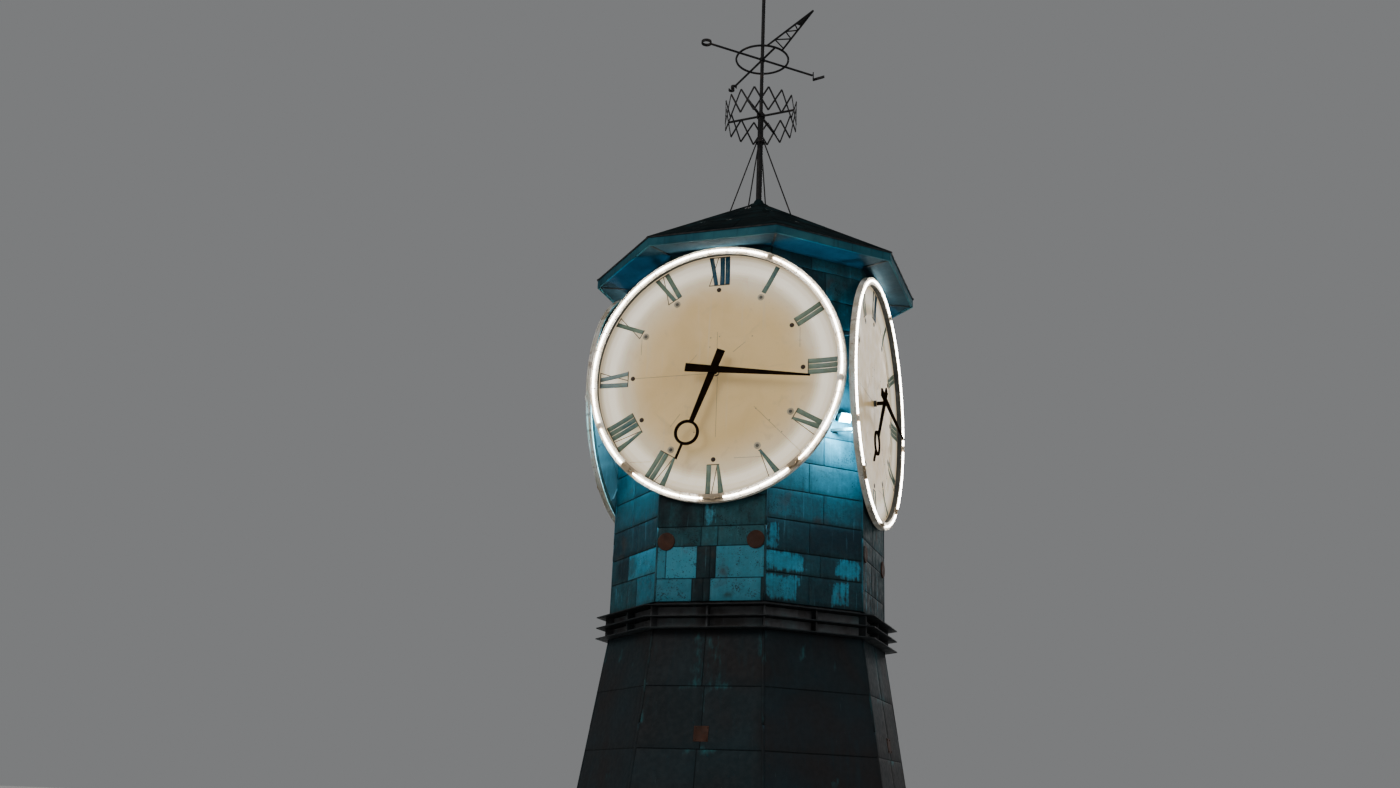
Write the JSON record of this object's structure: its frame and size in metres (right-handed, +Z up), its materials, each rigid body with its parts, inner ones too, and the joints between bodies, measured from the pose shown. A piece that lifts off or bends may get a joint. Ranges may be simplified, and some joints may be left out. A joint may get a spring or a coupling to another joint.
{
  "type": "octagonal clock tower",
  "caption": "Free-standing octagonal copper-clad clock tower with lit round dials, a low pyramid roof and a stayed mast with a zigzag crown and a compass cross.",
  "frame": {"origin": "on the tower's axis at ground level", "axes": "+Z up along the tower's axis, the front dial faces -Y and the right dial +X"},
  "size_m": [4.934, 4.934, 15.4],
  "materials": {
    "drum_copper": "copper sheet with blue-green patina, matt",
    "shaft_copper": "dark brown weathered copper sheet, matt",
    "dark_copper": "dark weathered copper, matt",
    "eave_copper": "copper sheet with blue-green patina, satin",
    "roof_copper": "dark weathered copper roofing, matt",
    "painted_iron": "weathered dark paint, matt",
    "painted_steel": "grey paint, matt",
    "dial_enamel": "cream paint, satin",
    "rim_bronze": "worn gilt metal, satin",
    "tube_light": "white lamp tube",
    "hand_paint": "dark brown paint, satin",
    "rust_red_paint": "rust-red primer, matt",
    "lamp_housing": "light grey paint, satin",
    "lamp_light": "lit lamp glass",
    "stone_kerb": "plain concrete"
  },
  "bodies": {
    "tower": {"base_kerb": "stone_kerb", "compass_cross": "painted_iron", "cornice_brackets": "dark_copper", "cornice_core": "shaft_copper", "cornice_fins": "dark_copper", "dial_pan_back": "dial_enamel", "dial_pan_front": "dial_enamel", "dial_pan_left": "dial_enamel", "dial_pan_right": "dial_enamel", "dial_rim_back": "rim_bronze", "dial_rim_front": "rim_bronze", "dial_rim_left": "rim_bronze", "dial_rim_right": "rim_bronze", "dial_struts": "painted_steel", "drum_wall_back": "drum_copper", "drum_wall_back_left": "drum_copper", "drum_wall_back_right": "drum_copper", "drum_wall_front": "drum_copper", "drum_wall_front_left": "drum_copper", "drum_wall_front_right": "drum_copper", "drum_wall_left": "drum_copper", "drum_wall_right": "drum_copper", "eave_fascia": "eave_copper", "eave_soffit": "eave_copper", "floodlight_lenses": "lamp_light", "floodlights": "lamp_housing", "mast": "painted_iron", "mast_crown": "painted_iron", "mast_stays": "painted_iron", "neon_tubes": "tube_light", "roof_cap": "roof_copper", "roof_deck": "roof_copper", "shaft_plates": "rust_red_paint", "shaft_wall_back": "shaft_copper", "shaft_wall_back_left": "shaft_copper", "shaft_wall_back_right": "shaft_copper", "shaft_wall_front": "shaft_copper", "shaft_wall_front_left": "shaft_copper", "shaft_wall_front_right": "shaft_copper", "shaft_wall_left": "shaft_copper", "shaft_wall_right": "shaft_copper", "wall_caps": "rust_red_paint"},
    "minute_front": {"minute_hand_front": "hand_paint"},
    "hour_front": {"hour_hand_front": "hand_paint"},
    "minute_right": {"minute_hand_right": "hand_paint"},
    "hour_right": {"hour_hand_right": "hand_paint"},
    "minute_back": {"minute_hand_back": "hand_paint"},
    "hour_back": {"hour_hand_back": "hand_paint"},
    "minute_left": {"minute_hand_left": "hand_paint"},
    "hour_left": {"hour_hand_left": "hand_paint"}
  },
  "joints": [
    {"name": "minute_front_turn", "type": "hinge", "parent": "tower", "child": "minute_front", "pos_m": [0, -2, 7.49], "axis": [0, 1, 0], "continuous": true},
    {"name": "hour_front_turn", "type": "hinge", "parent": "tower", "child": "hour_front", "pos_m": [0, -2, 7.49], "axis": [0, 1, 0], "continuous": true},
    {"name": "minute_right_turn", "type": "hinge", "parent": "tower", "child": "minute_right", "pos_m": [2, 0, 7.49], "axis": [-1, 0, 0], "continuous": true},
    {"name": "hour_right_turn", "type": "hinge", "parent": "tower", "child": "hour_right", "pos_m": [2, 0, 7.49], "axis": [-1, 0, 0], "continuous": true},
    {"name": "minute_back_turn", "type": "hinge", "parent": "tower", "child": "minute_back", "pos_m": [0, 2, 7.49], "axis": [0, -1, 0], "continuous": true},
    {"name": "hour_back_turn", "type": "hinge", "parent": "tower", "child": "hour_back", "pos_m": [0, 2, 7.49], "axis": [0, -1, 0], "continuous": true},
    {"name": "minute_left_turn", "type": "hinge", "parent": "tower", "child": "minute_left", "pos_m": [-2, 0, 7.49], "axis": [1, 0, 0], "continuous": true},
    {"name": "hour_left_turn", "type": "hinge", "parent": "tower", "child": "hour_left", "pos_m": [-2, 0, 7.49], "axis": [1, 0, 0], "continuous": true}
  ],
  "couplings": [
    {"joint": "hour_front_turn", "follows": "minute_front_turn", "ratio": 0.083333},
    {"joint": "hour_right_turn", "follows": "minute_right_turn", "ratio": 0.083333},
    {"joint": "hour_back_turn", "follows": "minute_back_turn", "ratio": 0.083333},
    {"joint": "hour_left_turn", "follows": "minute_left_turn", "ratio": 0.083333}
  ]
}
